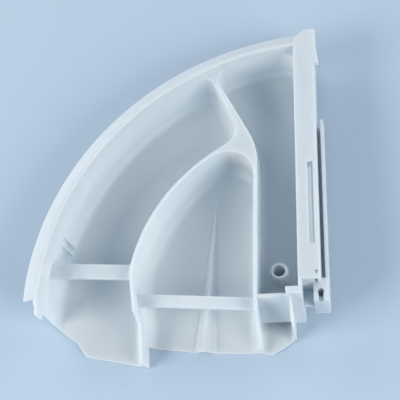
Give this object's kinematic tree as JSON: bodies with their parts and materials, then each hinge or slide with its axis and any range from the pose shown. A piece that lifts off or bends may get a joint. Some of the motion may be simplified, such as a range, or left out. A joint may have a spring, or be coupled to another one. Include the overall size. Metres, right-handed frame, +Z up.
{
  "type": "detergent dispenser tray",
  "caption": "Quarter-round swing-out laundry dispenser tray moulded in white plastic, with a curved outer wall, divided chambers, open front spouts, a siphon tube and a corner pivot socket.",
  "frame": {"origin": "on the pivot axis at the mouth of the pivot socket, at the front right corner of the tray", "axes": "+Z up along the pivot axis, +Y from the open front to the back of the tray, +X to the right, across the rail"},
  "size_m": [0.195, 0.2264, 0.0445],
  "materials": {
    "white_plastic": "satin moulded white"
  },
  "bodies": {
    "root": {"dispenser_tray": "white_plastic"}
  },
  "joints": []
}
